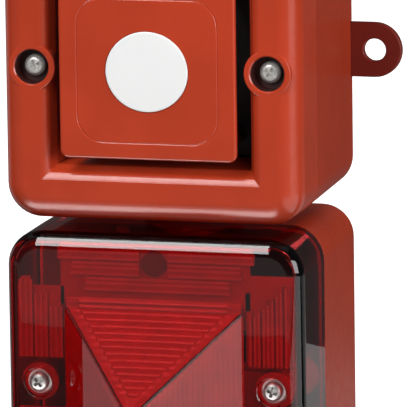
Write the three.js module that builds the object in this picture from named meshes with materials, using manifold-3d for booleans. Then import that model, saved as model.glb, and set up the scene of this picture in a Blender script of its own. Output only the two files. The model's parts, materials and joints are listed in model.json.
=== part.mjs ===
// Wall-mounted horn strobe: a square horn sounder stacked over a square xenon strobe.
// Frame: millimetres, +Z up, the wall plane is Y = 0 and the front faces -Y.
// The origin is the centre of the horn housing's back face.
// "Depth" (d) below is the distance in front of the wall, so Y = -d.
import * as THREE from "three";
import { mergeVertices } from "three/addons/utils/BufferGeometryUtils.js";
import Module from "manifold-3d";

const wasm = await Module();
wasm.setup();

// ---------------------------------------------------------------- dimensions
const HALF_W = 52; // half width of both units
const HORN_HALF_H = 52.5; // half height of the horn unit
const STROBE_HALF_H = 52; // half height of the strobe unit
const PITCH = 109; // horn centre to strobe centre
const CORNER_R = 12; // outer corner radius seen from the front
const DRAFT = 1; // how much narrower each side of a housing is at the wall
const WALL = 3; // moulded wall thickness
const BACK = 3.6; // back wall thickness

const HORN_SPLIT = 54; // housing to cover parting line
const HORN_FRONT = 78; // front plane of the horn cover
const HORN_FILLET = 5.4; // rounding of the cover's front edge
const MOUTH = 38.2; // half size of the horn mouth at the front plane
const PLATE_HALF_X = 30.75; // half width of the deflector plate
const PLATE_HALF_Z = 30.2; // half height of the deflector plate
const PLATE_FRONT = 80.6; // front face of the deflector plate, a little proud of the cover
const BADGE_R = 14; // radius of the round blank badge

const STROBE_SPLIT = 46; // housing to lens parting line
const LENS_FRONT = 77.5; // flat face of the lens
const LENS_FILLET = 4; // rounding of the lens's front edge
const LENS_WALL = 2.8;
const PYRAMID_HALF = 30.9; // half size of the pyramid's base
const PYRAMID_TIP = 109; // front of the pyramid's blunt tip
const PYRAMID_APEX = 110.4; // where its faces would meet
const PYRAMID_DROP = 4.4; // the pyramid and the flash tube sit this far below the line of the lens screws

const SCREW_X = 41.1; // cover and lens screws, left and right of centre
const BOSS_R = 8.2; // horn cover's screw bosses
const COUNTERBORE_R = 6;
const SHANK_R = 1.9;
const SHANK_HOLE_R = 2.3;

const LUG_X = 59.4; // fixing hole centre
const LUG_Z = -3.4;
const LUG_R = 9.5;
const LUG_HOLE_R = 3.9;
const LUG_T = 3;

const GAP = 0.3; // clearance kept between touching pieces
const DRIVER_R = 25;

// ---------------------------------------------------------------- colours
const RED = 0xb03c26, LENS_RED = 0xa01218, STEEL = 0xc9c7c2, BLACK = 0x1b1a1a, WHITE = 0xf4f4f2;
const GREEN = 0x1f5a34, BRASS = 0xb8963e, GREY = 0x8b8c8c, FERRITE = 0x35363a, COPPER = 0xb4602c, BLUE = 0x2a4f9a;
const CREAM = 0xe5dfcf, GLASS = 0xdfe6ea, ORANGE = 0xd9772b;

const root = new THREE.Group();
const groups = {};
function group(name) {
  const g = new THREE.Group();
  root.add(g);
  groups[name] = g;
  return g;
}
const base = group("base"), cover = group("cover"), lensGroup = group("lens");

function material(color, roughness = 0.5, metalness = 0, extra = {}) {
  return new THREE.MeshStandardMaterial({ color, roughness, metalness, ...extra });
}

// ---------------------------------------------------------------- solid helpers
function solid(geometry) {
  const g = geometry.clone();
  for (const key of Object.keys(g.attributes)) if (key !== "position") g.deleteAttribute(key);
  const m = mergeVertices(g, 1e-4);
  const make = (tri) => new wasm.Manifold(new wasm.Mesh({ numProp: 3, vertProperties: new Float32Array(m.attributes.position.array), triVerts: tri }));
  const tri = new Uint32Array(m.index.array);
  const s = make(tri);
  if (s.volume() >= 0) return s;
  for (let i = 0; i < tri.length; i += 3) [tri[i + 1], tri[i + 2]] = [tri[i + 2], tri[i + 1]];
  return make(tri);
}
function geometryOf(s) {
  const mesh = s.getMesh();
  const n = mesh.numProp, count = mesh.vertProperties.length / n;
  const pos = new Float32Array(count * 3);
  for (let i = 0; i < count; i++) for (let k = 0; k < 3; k++) pos[3 * i + k] = mesh.vertProperties[n * i + k];
  const g = new THREE.BufferGeometry();
  g.setAttribute("position", new THREE.BufferAttribute(pos, 3));
  g.setIndex(new THREE.BufferAttribute(new Uint32Array(mesh.triVerts), 1));
  return g;
}
const join = (first, ...rest) => rest.reduce((a, b) => a.add(b), first);
const cut = (first, ...rest) => rest.reduce((a, b) => a.subtract(b), first);
function piece(parent, name, s, mat) {
  const g = geometryOf(s).toNonIndexed();
  g.computeVertexNormals();
  const mesh = new THREE.Mesh(g, mat);
  mesh.name = name;
  parent.add(mesh);
  return mesh;
}

// A rounded rectangle's outline, as [x, z] points, anticlockwise, with n segments to a corner.
function outline(hw, hh, r, n = 6, cx = 0, cz = 0) {
  const pts = [];
  const corners = [[1, 1, 0], [-1, 1, 1], [-1, -1, 2], [1, -1, 3]];
  for (const [sx, sz, q] of corners)
    for (let i = 0; i <= n; i++) {
      const a = ((q + i / n) * Math.PI) / 2;
      pts.push([cx + sx * (hw - r) + r * Math.cos(a), cz + sz * (hh - r) + r * Math.sin(a)]);
    }
  return pts;
}
// A closed solid through outlines of equal point count, each at its own depth.
function loft(rings) {
  const n = rings[0].pts.length, pos = [], idx = [];
  for (const { d, pts } of rings) for (const [x, z] of pts) pos.push(x, -d, z);
  for (let k = 0; k + 1 < rings.length; k++)
    for (let i = 0; i < n; i++) {
      const j = (i + 1) % n, a = k * n + i, b = k * n + j, c = a + n, e = b + n;
      idx.push(a, b, c, b, e, c);
    }
  const last = (rings.length - 1) * n;
  for (let i = 1; i + 1 < n; i++) {
    idx.push(0, i + 1, i);
    idx.push(last, last + i, last + i + 1);
  }
  const g = new THREE.BufferGeometry();
  g.setAttribute("position", new THREE.BufferAttribute(new Float32Array(pos), 3));
  g.setIndex(idx);
  return solid(g);
}
// A rounded-rectangle bar between two depths, with an optional second size at the front.
function bar(d0, d1, hw, hh, r, { cx = 0, cz = 0, n = 6, hw1 = hw, hh1 = hh, r1 = r } = {}) {
  return loft([{ d: d0, pts: outline(hw, hh, r, n, cx, cz) }, { d: d1, pts: outline(hw1, hh1, r1, n, cx, cz) }]);
}
function box(x0, x1, d0, d1, z0, z1) {
  const g = new THREE.BoxGeometry(x1 - x0, d1 - d0, z1 - z0);
  g.translate((x0 + x1) / 2, -(d0 + d1) / 2, (z0 + z1) / 2);
  return solid(g);
}
// Cylinders along depth, along Z and along X.
function rodY(x, z, r, d0, d1, sides = 20, r1 = r) {
  const g = new THREE.CylinderGeometry(r, r1, d1 - d0, sides, 1);
  g.translate(x, -(d0 + d1) / 2, z);
  return solid(g);
}
function rodZ(x, d, r, z0, z1, sides = 24, r1 = r) {
  const g = new THREE.CylinderGeometry(r1, r, z1 - z0, sides, 1);
  g.rotateX(Math.PI / 2);
  g.translate(x, -d, (z0 + z1) / 2);
  return solid(g);
}
function rodX(d, z, r, x0, x1, sides = 24) {
  const g = new THREE.CylinderGeometry(r, r, x1 - x0, sides, 1);
  g.rotateZ(Math.PI / 2);
  g.translate((x0 + x1) / 2, -d, z);
  return solid(g);
}
// A turned solid about the depth axis through (x, z); profile is [radius, depth] pairs and closes on itself.
function turned(profile, x = 0, z = 0, sides = 28) {
  const pts = [...profile, profile[0]].map(([r, d]) => new THREE.Vector2(r, -d));
  const g = new THREE.LatheGeometry(pts, sides);
  g.translate(x, 0, z);
  return solid(g);
}
// A turned solid about the vertical axis through (x, depth); profile is [radius, z] pairs.
function turnedZ(profile, x, d, sides = 24) {
  const pts = [...profile, profile[0]].map(([r, z]) => new THREE.Vector2(r, z));
  const g = new THREE.LatheGeometry(pts, sides);
  g.rotateX(Math.PI / 2);
  g.translate(x, -d, 0);
  return solid(g);
}
function tube(points, r, steps, sides = 8, closed = false) {
  const curve = new THREE.CatmullRomCurve3(points.map(([x, d, z]) => new THREE.Vector3(x, -d, z)), closed, "centripetal");
  const s = new THREE.Shape();
  for (let i = 0; i < sides; i++) {
    const a = (2 * Math.PI * i) / sides;
    if (i) s.lineTo(r * Math.cos(a), r * Math.sin(a));
    else s.moveTo(r, 0);
  }
  s.closePath();
  return solid(new THREE.ExtrudeGeometry(s, { steps, bevelEnabled: false, extrudePath: curve }));
}

// ---------------------------------------------------------------- rear housings
// A box open at the front, with a thickened rim that holds the seal, screw pillars and board standoffs.
function rearHousing(halfH, split, cz) {
  const outer = loft([
    { d: 0, pts: outline(HALF_W - DRAFT - 0.8, halfH - DRAFT - 0.8, CORNER_R - 1.4, 5, 0, cz) },
    { d: 0.8, pts: outline(HALF_W - DRAFT, halfH - DRAFT, CORNER_R - 0.6, 5, 0, cz) },
    { d: split, pts: outline(HALF_W, halfH, CORNER_R, 5, 0, cz) },
  ]);
  const inner = loft([
    { d: BACK, pts: outline(HALF_W - DRAFT - WALL, halfH - DRAFT - WALL, CORNER_R - WALL - 0.6, 4, 0, cz) },
    { d: split - 5, pts: outline(HALF_W - WALL, halfH - WALL, CORNER_R - WALL, 4, 0, cz) },
    { d: split - 4, pts: outline(HALF_W - WALL - 1.5, halfH - WALL - 1.5, CORNER_R - WALL - 1.5, 4, 0, cz) },
    { d: split + 1, pts: outline(HALF_W - WALL - 1.5, halfH - WALL - 1.5, CORNER_R - WALL - 1.5, 4, 0, cz) },
  ]);
  let s = cut(outer, inner);
  // seal groove in the rim
  const groove = cut(
    bar(split - 2, split + 1, HALF_W - 1, halfH - 1, CORNER_R - 1, { cz, n: 4 }),
    bar(split - 3, split + 2, HALF_W - 3.4, halfH - 3.4, CORNER_R - 3.4, { cz, n: 4 }),
  );
  s = cut(s, groove);
  for (const sx of [-1, 1]) {
    s = join(s, rodY(sx * SCREW_X, cz, 5.4, BACK - 1, split - 1.5, 12));
    s = cut(s, rodY(sx * SCREW_X, cz, SHANK_HOLE_R, 16, split, 10));
    for (const sz of [-1, 1]) {
      s = join(s, rodY(sx * 29, cz + sz * 37, 3.2, BACK - 1, 8.2, 8));
      s = cut(s, rodY(sx * 29, cz + sz * 37, 1.5, 1.4 + BACK, 9, 6));
    }
  }
  return s;
}
const SEAL = (halfH, split, cz) =>
  cut(
    bar(split - 1.7, split + 0.05, HALF_W - 1.3, halfH - 1.3, CORNER_R - 1.3, { cz, n: 4 }),
    bar(split - 3, split + 1, HALF_W - 3.1, halfH - 3.1, CORNER_R - 3.1, { cz, n: 4 }),
  );

const ENTRY_D = 24; // depth of the cable entries' centre line
const ENTRY_R = 10.3;
let hornHousing = rearHousing(HORN_HALF_H, HORN_SPLIT, 0);
// bases that the fixing lugs are screwed into, the pockets they lie in, and their screw holes
for (const sx of [-1, 1]) {
  hornHousing = join(hornHousing, box(Math.min(sx * 35.5, sx * 48.6), Math.max(sx * 35.5, sx * 48.6), BACK - 0.5, 8.5, -14.4, 7.6));
  hornHousing = cut(
    hornHousing,
    box(Math.min(sx * 37.2, sx * 56), Math.max(sx * 37.2, sx * 56), -1, LUG_T + GAP, LUG_Z - LUG_R - GAP, LUG_Z + LUG_R + GAP),
    rodY(sx * 42.5, LUG_Z, 1.8, 2, 12.5, 10),
  );
}
hornHousing = cut(
  hornHousing,
  rodZ(0, ENTRY_D, ENTRY_R, -HORN_HALF_H - 1, -HORN_HALF_H + 5, 24), // joined to the strobe below
  rodX(ENTRY_D, -27, ENTRY_R, -HALF_W - 1, -HALF_W + 5, 24), // side entry, plugged
);
// rear entry knock-out: a ring groove in the back wall
hornHousing = cut(hornHousing, cut(rodY(0, 26, 10.5, -1, 1.6, 24), rodY(0, 26, 9.7, -2, 2, 24)));
piece(base, "horn_rear_housing", hornHousing, material(RED, 0.42));

const SZ = -PITCH; // strobe centre
const TZ = SZ - PYRAMID_DROP; // centre of the pyramid, the reflector and the flash tube
let strobeHousing = rearHousing(STROBE_HALF_H, STROBE_SPLIT, SZ);
strobeHousing = cut(
  strobeHousing,
  rodZ(0, ENTRY_D, ENTRY_R, SZ + STROBE_HALF_H - 5, SZ + STROBE_HALF_H + 1, 24),
  rodZ(0, ENTRY_D, ENTRY_R, SZ - STROBE_HALF_H - 1, SZ - STROBE_HALF_H + 5, 24),
  cut(rodY(0, SZ - 26, 10.5, -1, 1.6, 24), rodY(0, SZ - 26, 9.7, -2, 2, 24)),
);
piece(base, "strobe_rear_housing", strobeHousing, material(RED, 0.42));

piece(base, "horn_seal", SEAL(HORN_HALF_H, HORN_SPLIT, 0), material(BLACK, 0.85));
piece(base, "strobe_seal", SEAL(STROBE_HALF_H, STROBE_SPLIT, SZ), material(BLACK, 0.85));

// ---------------------------------------------------------------- fixing lugs
for (const [side, sx] of [["left", -1], ["right", 1]]) {
  const arm = box(Math.min(sx * 37.5, sx * LUG_X), Math.max(sx * 37.5, sx * LUG_X), 0, LUG_T, LUG_Z - LUG_R, LUG_Z + LUG_R);
  const lug = cut(
    join(arm, rodY(sx * LUG_X, LUG_Z, LUG_R, 0, LUG_T, 24)),
    rodY(sx * LUG_X, LUG_Z, LUG_HOLE_R, -1, LUG_T + 1, 20),
    rodY(sx * 42.5, LUG_Z, 1.9, -1, LUG_T + 1, 12),
    rodY(sx * 42.5, LUG_Z, 3.5, -0.1, 1.9, 12, 1.9),
  );
  piece(base, "fixing_lug_" + side, lug, material(RED, 0.42));
  const screw = cut(
    join(rodY(sx * 42.5, LUG_Z, 3.0, 0.35, 1.7, 12, 1.7), rodY(sx * 42.5, LUG_Z, 1.45, 1.5, 11.5, 8)),
    box(sx * 42.5 - 1.6, sx * 42.5 + 1.6, 0, 0.95, LUG_Z - 0.35, LUG_Z + 0.35),
    box(sx * 42.5 - 0.35, sx * 42.5 + 0.35, 0, 0.95, LUG_Z - 1.6, LUG_Z + 1.6),
  );
  piece(base, "lug_screw_" + side, screw, material(STEEL, 0.3, 0.9));
}

// ---------------------------------------------------------------- coupling between the two units
const HORN_FLOOR = -HORN_HALF_H + WALL + 1.2; // highest point of the horn's lower wall near the entry
const STROBE_CEIL = SZ + STROBE_HALF_H - WALL - 1.2;
const hex = (x, d, acrossFlats, z0, z1) => rodZ(x, d, acrossFlats / Math.sqrt(3), z0, z1, 6);
piece(base, "coupling_nipple", cut(rodZ(0, ENTRY_D, 9.9, STROBE_CEIL - 7, HORN_FLOOR + 7, 24), rodZ(0, ENTRY_D, 7.2, STROBE_CEIL - 9, HORN_FLOOR + 9, 16)), material(STEEL, 0.35, 0.9));
piece(base, "coupling_locknut_upper", cut(hex(0, ENTRY_D, 25, HORN_FLOOR, HORN_FLOOR + 5), rodZ(0, ENTRY_D, 10.2, HORN_FLOOR - 1, HORN_FLOOR + 6, 24)), material(STEEL, 0.35, 0.9));
piece(base, "coupling_locknut_lower", cut(hex(0, ENTRY_D, 25, STROBE_CEIL - 5, STROBE_CEIL), rodZ(0, ENTRY_D, 10.2, STROBE_CEIL - 6, STROBE_CEIL + 1, 24)), material(STEEL, 0.35, 0.9));
piece(base, "coupling_seal", cut(rodZ(0, ENTRY_D, 17, SZ + STROBE_HALF_H + 0.15, -HORN_HALF_H - 0.15, 28), rodZ(0, ENTRY_D, 10.3, SZ + STROBE_HALF_H - 2, -HORN_HALF_H + 2, 24)), material(BLACK, 0.85));

// ---------------------------------------------------------------- side entry stopping plug
piece(
  base,
  "stopping_plug",
  cut(
    join(rodX(ENTRY_D, -27, 12, -HALF_W - 4.6, -HALF_W - 1.9, 12), rodX(ENTRY_D, -27, 9.9, -HALF_W - 2.2, -HALF_W + 8, 24)),
    box(-HALF_W - 6, -HALF_W - 3, ENTRY_D - 6, ENTRY_D + 6, -27.9, -26.1),
  ),
  material(RED, 0.5),
);
piece(base, "stopping_plug_washer", cut(rodX(ENTRY_D, -27, 11.6, -HALF_W - 1.6, -HALF_W - 0.1, 24), rodX(ENTRY_D, -27, 10.3, -HALF_W - 3, -HALF_W + 2, 24)), material(BLACK, 0.85));

// ---------------------------------------------------------------- M20 cable gland in the strobe's lower wall
const GZ = SZ - STROBE_HALF_H; // lower wall's outer face
piece(base, "gland_locknut", cut(hex(0, ENTRY_D, 25, GZ + WALL + 1.2, GZ + WALL + 6.2), rodZ(0, ENTRY_D, 10.2, GZ, GZ + 12, 24)), material(BLACK, 0.5));
piece(
  base,
  "gland_body",
  cut(
    join(hex(0, ENTRY_D, 24, GZ - 6.4, GZ - 0.3), rodZ(0, ENTRY_D, 9.9, GZ - 1, GZ + 10.5, 24), rodZ(0, ENTRY_D, 9.2, GZ - 14.5, GZ - 6, 24)),
    rodZ(0, ENTRY_D, 6.9, GZ - 16, GZ + 12, 20),
  ),
  material(BLACK, 0.5),
);
piece(base, "gland_seal", cut(rodZ(0, ENTRY_D, 6.6, GZ - 15.2, GZ - 4, 20), rodZ(0, ENTRY_D, 4.4, GZ - 17, GZ - 2, 16)), material(GREY, 0.8));
piece(
  base,
  "gland_dome_nut",
  cut(
    turnedZ([[0, GZ - 6.9], [13, GZ - 6.9], [13, GZ - 13], [12, GZ - 16], [9.6, GZ - 19.2], [7.4, GZ - 20.6], [0, GZ - 20.6]], 0, ENTRY_D, 12),
    rodZ(0, ENTRY_D, 9.6, GZ - 15.5, GZ - 6, 24),
    rodZ(0, ENTRY_D, 5.4, GZ - 22, GZ - 10, 20),
  ),
  material(BLACK, 0.5),
);

// ---------------------------------------------------------------- boards and what is on them
const PCB_D = 8.5, PCB_T = 1.6, PCB_F = PCB_D + PCB_T;
function board(cz) {
  let s = bar(PCB_D, PCB_F, 33.5, 41.5, 2, { cz, n: 2 });
  for (const sx of [-1, 1]) for (const sz of [-1, 1]) s = cut(s, rodY(sx * 29, cz + sz * 37, 1.7, PCB_D - 1, PCB_F + 1, 6));
  return s;
}
function boardScrew(x, z) {
  return cut(join(rodY(x, z, 2.6, PCB_F + GAP, PCB_F + 2.1, 10), rodY(x, z, 1.15, 5.4, PCB_F + 1, 6)), box(x - 2, x + 2, PCB_F + 1.3, PCB_F + 3, z - 0.35, z + 0.35));
}
piece(base, "horn_board", board(0), material(GREEN, 0.5));
piece(base, "strobe_board", board(SZ), material(GREEN, 0.5));
[[-29, 37], [29, 37], [-29, -37], [29, -37]].forEach(([x, z], i) => {
  if (i === 0 || i === 3) piece(base, "horn_board_screw_" + (i ? 2 : 1), boardScrew(x, z), material(STEEL, 0.3, 0.9));
  if (i === 0 || i === 3) piece(base, "strobe_board_screw_" + (i ? 2 : 1), boardScrew(x, SZ + z), material(STEEL, 0.3, 0.9));
});
function terminalBlock(x0, z0, ways, up) {
  const w = ways * 5, zz = (a, b) => (up > 0 ? [z0 - b, z0 - a] : [z0 + a, z0 + b]);
  let s = join(box(x0, x0 + w, PCB_F + GAP, PCB_F + 5.7, ...zz(0, 7)), box(x0, x0 + w, PCB_F + GAP, PCB_F + 4.2, ...zz(-2, 0)));
  for (let i = 0; i < ways; i++) s = cut(s, rodY(x0 + 2.5 + 5 * i, z0 - up * 3.8, 1.5, PCB_F + 4.2, PCB_F + 7, 6), box(x0 + 1.2 + 5 * i, x0 + 3.8 + 5 * i, PCB_F + 1.1, PCB_F + 3.5, ...zz(-3, 1.5)));
  return s;
}
piece(base, "horn_terminal_block", terminalBlock(-20, -26, 5, -1), material(BLUE, 0.5));
piece(base, "strobe_terminal_block", terminalBlock(-12, SZ + 27, 5, 1), material(BLUE, 0.5));
// tone selector: a four-way slide switch
const DIP_X = 9, DIP_Z = 33.5;
let dip = box(DIP_X, DIP_X + 11.2, PCB_F + GAP, PCB_F + 4.2, DIP_Z - 3.3, DIP_Z + 3.3);
for (let i = 0; i < 4; i++) dip = cut(dip, box(DIP_X + 0.95 + 2.45 * i, DIP_X + 2.65 + 2.45 * i, PCB_F + 2, PCB_F + 5, DIP_Z - 2, DIP_Z + 2));
piece(base, "tone_switch_body", dip, material(BLUE, 0.5));
for (let i = 0; i < 4; i++)
  piece(base, "tone_switch_slider_" + (i + 1), box(DIP_X + 1.25 + 2.45 * i, DIP_X + 2.35 + 2.45 * i, PCB_F + 2.3, PCB_F + 5, DIP_Z - 1.7, DIP_Z - 0.2), material(WHITE, 0.4));
// volume trimmer
const POT_X = -12, POT_Z = 33.5;
piece(base, "volume_trimmer_body", cut(box(POT_X - 5, POT_X + 5, PCB_F + GAP, PCB_F + 4.6, POT_Z - 4.5, POT_Z + 4.5), rodY(POT_X, POT_Z, 3.6, PCB_F + 2.6, PCB_F + 6, 20)), material(BLUE, 0.5));
piece(
  base,
  "volume_trimmer_rotor",
  cut(rodY(POT_X, POT_Z, 3.2, PCB_F + 2.95, PCB_F + 5.2, 20), box(POT_X - 2.4, POT_X + 2.4, PCB_F + 4.2, PCB_F + 6, POT_Z - 0.5, POT_Z + 0.5), box(POT_X - 0.5, POT_X + 0.5, PCB_F + 4.2, PCB_F + 6, POT_Z, POT_Z + 2.4)),
  material(WHITE, 0.4),
);
piece(base, "flash_capacitor", rodY(-21, SZ - 12, 9, PCB_F + GAP, PCB_F + 30, 20), material(BLACK, 0.4));
piece(base, "inverter_transformer", join(box(13, 29, PCB_F + GAP, PCB_F + 4, SZ - 22, SZ - 4), box(15, 27, PCB_F + 3, PCB_F + 13, SZ - 19, SZ - 7), box(13, 29, PCB_F + 12, PCB_F + 15.5, SZ - 22, SZ - 4)), material(0xd8b24a, 0.5));
piece(base, "trigger_coil", rodY(21, SZ + 14, 5.2, PCB_F + GAP, PCB_F + 14, 14), material(COPPER, 0.4));

// ---------------------------------------------------------------- flash tube, its holder and reflector
const REFL_D = 62; // back of the reflector
piece(base, "tube_holder", join(box(-11, 11, PCB_F + GAP, REFL_D - GAP, TZ - 5, TZ + 5), box(-7.5, 7.5, REFL_D - 1, REFL_D + 8, TZ - 4, TZ + 4)), material(CREAM, 0.6));
{
  const pan = loft([
    { d: REFL_D, pts: outline(14, 14, 2, 2, 0, TZ) },
    { d: REFL_D + 9, pts: outline(28, 28, 3, 2, 0, TZ) },
  ]);
  const hollow = loft([
    { d: REFL_D + 1.6, pts: outline(13.4, 13.4, 2, 2, 0, TZ) },
    { d: REFL_D + 9.5, pts: outline(27, 27, 3, 2, 0, TZ) },
  ]);
  piece(base, "reflector", cut(pan, hollow, box(-7.9, 7.9, REFL_D - 2, REFL_D + 5, TZ - 4.4, TZ + 4.4)), material(WHITE, 0.2, 0.6));
}
{
  const legs = [];
  legs.push([-5, REFL_D + 8.4, TZ], [-5, REFL_D + 14, TZ], [-5, REFL_D + 22, TZ]);
  for (let i = 1; i < 6; i++) {
    const a = Math.PI - (Math.PI * i) / 6;
    legs.push([5 * Math.cos(a), REFL_D + 27 + 5 * Math.sin(a), TZ]);
  }
  legs.push([5, REFL_D + 22, TZ], [5, REFL_D + 14, TZ], [5, REFL_D + 8.4, TZ]);
  piece(base, "xenon_tube", tube(legs, 2.4, 20, 8), material(GLASS, 0.05, 0, { transparent: true, opacity: 0.5 }));
}

// ---------------------------------------------------------------- link cable from board to board, through the coupling
piece(base, "link_cable", tube([[3, PCB_F + 2.6, SZ + 30], [2.8, PCB_F + 3.8, SZ + 32.5], [1.5, 20.5, SZ + 37], [0, ENTRY_D, SZ + 42], [0, ENTRY_D, SZ + 47], [0, ENTRY_D, SZ + 57], [0, ENTRY_D, SZ + 66], [-1.5, 21, -36.5], [-5.2, PCB_F + 4.0, -31.5], [-5.6, PCB_F + 2.6, -29]], 1.9, 24, 8), material(BLACK, 0.6));

// ---------------------------------------------------------------- horn front cover
let coverS = loft([
  { d: HORN_SPLIT + 0.3, pts: outline(HALF_W, HORN_HALF_H, CORNER_R, 6) },
  ...[0, 1, 2, 3, 4].map((i) => {
    const a = (i / 4) * (Math.PI / 2), f = HORN_FILLET * (1 - Math.cos(a));
    return { d: HORN_FRONT - HORN_FILLET + HORN_FILLET * Math.sin(a), pts: outline(HALF_W - f, HORN_HALF_H - f, CORNER_R - f, 6) };
  }),
]);
coverS = cut(
  coverS,
  loft([
    { d: HORN_SPLIT - 1, pts: outline(HALF_W - WALL, HORN_HALF_H - WALL, CORNER_R - WALL, 4) },
    { d: HORN_FRONT - 6, pts: outline(HALF_W - WALL - 0.3, HORN_HALF_H - WALL - 0.3, CORNER_R - WALL - 0.3, 4) },
    { d: HORN_FRONT - 3, pts: outline(HALF_W - WALL - 3.4, HORN_HALF_H - WALL - 3.4, CORNER_R - WALL - 3.4, 4) },
  ]),
);
const FLARE_BACK = 57;
coverS = join(
  coverS,
  bar(FLARE_BACK, HORN_FRONT - 2.5, 34.8, 34.8, 1.5, { n: 2, hw1: 40.4, hh1: 40.4, r1: 1.5 }),
  rodY(-SCREW_X, 0, BOSS_R, HORN_SPLIT + 0.3, HORN_FRONT, 24),
  rodY(SCREW_X, 0, BOSS_R, HORN_SPLIT + 0.3, HORN_FRONT, 24),
);
// the mouth: a chamfer, then a flare that steepens towards the throat; the screw bosses stand into it
const mouth = loft(
  [[FLARE_BACK - 1, 32.2], [65, 33.2], [72.5, 33.9], [74.6, 34.9], [HORN_FRONT - 2.2, MOUTH - 2.2], [HORN_FRONT, MOUTH], [HORN_FRONT + 1, MOUTH + 0.2]].map(([d, h]) => ({ d, pts: outline(h, h, 0.6, 1) })),
);
const bosses = join(rodY(-SCREW_X, 0, BOSS_R, HORN_SPLIT + 0.3, HORN_FRONT, 24), rodY(SCREW_X, 0, BOSS_R, HORN_SPLIT + 0.3, HORN_FRONT, 24));
coverS = cut(join(cut(coverS, mouth), bosses), ...[-1, 1].flatMap((sx) => [rodY(sx * SCREW_X, 0, COUNTERBORE_R, HORN_FRONT - 6.2, HORN_FRONT + 1, 24), rodY(sx * SCREW_X, 0, SHANK_HOLE_R, HORN_SPLIT - 1, HORN_FRONT, 10)]));
piece(cover, "horn_front_cover", coverS, material(RED, 0.38));

// ---------------------------------------------------------------- horn flare and deflector plate
const THROAT_D = 41;
let flare = join(
  bar(FLARE_BACK - 2.6, FLARE_BACK - GAP, 31.5, 31.5, 2, { n: 2 }),
  turned([[8.5, THROAT_D], [21, THROAT_D], [21, THROAT_D + 2.2], [12.4, THROAT_D + 2.2], [14.5, THROAT_D + 7], [21, THROAT_D + 11.5], [29.5, FLARE_BACK - 2.6 + 0.8], [29.5, FLARE_BACK - 1], [8.5, FLARE_BACK - 1]], 0, 0, 20),
);
flare = cut(flare, turned([[0, THROAT_D - 1], [9, THROAT_D - 1], [9, THROAT_D + 2], [10.6, THROAT_D + 6], [16, THROAT_D + 10.5], [26.4, FLARE_BACK - 2], [26.4, FLARE_BACK + 1], [0, FLARE_BACK + 1]], 0, 0, 20));
const POSTS = [[-25.5, -24.5], [25.5, -24.5], [-25.5, 24.5], [25.5, 24.5]];
for (const [x, z] of POSTS) flare = cut(flare, rodY(x, z, 1.5, FLARE_BACK - 4, FLARE_BACK + 1, 6));
piece(cover, "horn_flare", flare, material(BLACK, 0.5));

const PLATE_T = 5;
let plate = loft([
  { d: PLATE_FRONT - PLATE_T, pts: outline(27, 27, 3, 3) },
  { d: PLATE_FRONT - 3, pts: outline(27.6, 27.6, 3, 3) },
  { d: PLATE_FRONT - 2, pts: outline(PLATE_HALF_X - 0.7, PLATE_HALF_Z - 0.7, 2.4, 3) },
  { d: PLATE_FRONT - 1.2, pts: outline(PLATE_HALF_X, PLATE_HALF_Z, 2.6, 3) },
  { d: PLATE_FRONT - 0.35, pts: outline(PLATE_HALF_X - 0.3, PLATE_HALF_Z - 0.3, 2.4, 3) },
  { d: PLATE_FRONT, pts: outline(PLATE_HALF_X - 1.1, PLATE_HALF_Z - 1.1, 1.7, 3) },
]);
plate = join(plate, turned([[0, PLATE_FRONT - PLATE_T + 1], [0, 60], [3, 60.4], [7, 64.5], [16, 71], [20, PLATE_FRONT - PLATE_T + 1]], 0, 0, 16));
for (const [x, z] of POSTS) plate = cut(join(plate, rodY(x, z, 2.8, FLARE_BACK, PLATE_FRONT - 2, 8)), rodY(x, z, 1.5, FLARE_BACK - 1, FLARE_BACK + 8, 6));
plate = cut(
  plate,
  cut(bar(PLATE_FRONT - 0.35, PLATE_FRONT + 1, 24.6, 25, 9, { n: 4 }), bar(PLATE_FRONT - 1, PLATE_FRONT + 2, 24.2, 24.6, 8.6, { n: 4 })),
  rodY(0, 0, BADGE_R + 0.4, PLATE_FRONT - 0.5, PLATE_FRONT + 1, 32),
);
piece(cover, "deflector_plate", plate, material(RED, 0.38));
POSTS.forEach(([x, z], i) => {
  if (i === 0 || i === 3) piece(cover, "deflector_screw_" + (i ? 2 : 1), join(rodY(x, z, 2.5, FLARE_BACK - 2.6 - 2.1, FLARE_BACK - 2.6 - GAP, 10), rodY(x, z, 1.15, FLARE_BACK - 4, FLARE_BACK + 7, 6)), material(STEEL, 0.3, 0.9));
});
piece(cover, "round_badge", rodY(0, 0, BADGE_R, PLATE_FRONT - 0.2, PLATE_FRONT + 0.35, 32), material(WHITE, 0.35));

// ---------------------------------------------------------------- compression driver behind the flare
piece(cover, "driver_throat_plate", cut(rodY(0, 0, DRIVER_R, 34.5, THROAT_D - GAP, 20), rodY(0, 0, 8.6, 30, THROAT_D + 1, 20), rodY(0, 0, 18.4, 34, 37.6, 20, 12)), material(FERRITE, 0.5));
piece(cover, "driver_surround_clamp", cut(rodY(0, 0, DRIVER_R, 31.6, 34.2, 20), rodY(0, 0, 17.2, 31, 36, 20)), material(FERRITE, 0.5));
piece(cover, "driver_top_plate", cut(rodY(0, 0, DRIVER_R, 27.6, 31.3, 20), rodY(0, 0, 13.7, 27, 32, 20)), material(STEEL, 0.4, 0.9));
piece(cover, "driver_magnet", cut(rodY(0, 0, DRIVER_R, 20, 27.3, 20), rodY(0, 0, 15, 19, 28, 20)), material(FERRITE, 0.6));
piece(cover, "driver_yoke", join(rodY(0, 0, DRIVER_R, 16.4, 19.7, 20), rodY(0, 0, 11.4, 19, 31, 20)), material(STEEL, 0.4, 0.9));
piece(cover, "driver_diaphragm", turned([[0, 35.0], [6, 34.6], [12, 33.2], [13.4, 32.8], [16.7, 33.0], [16.7, 33.4], [13.4, 33.2], [12.2, 33.7], [6, 35.1], [0, 35.5]], 0, 0, 20), material(0xb9a27a, 0.5));
piece(cover, "voice_coil", cut(rodY(0, 0, 12.9, 26.5, 32.4, 20), rodY(0, 0, 12.1, 26, 33, 20)), material(COPPER, 0.4));

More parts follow.
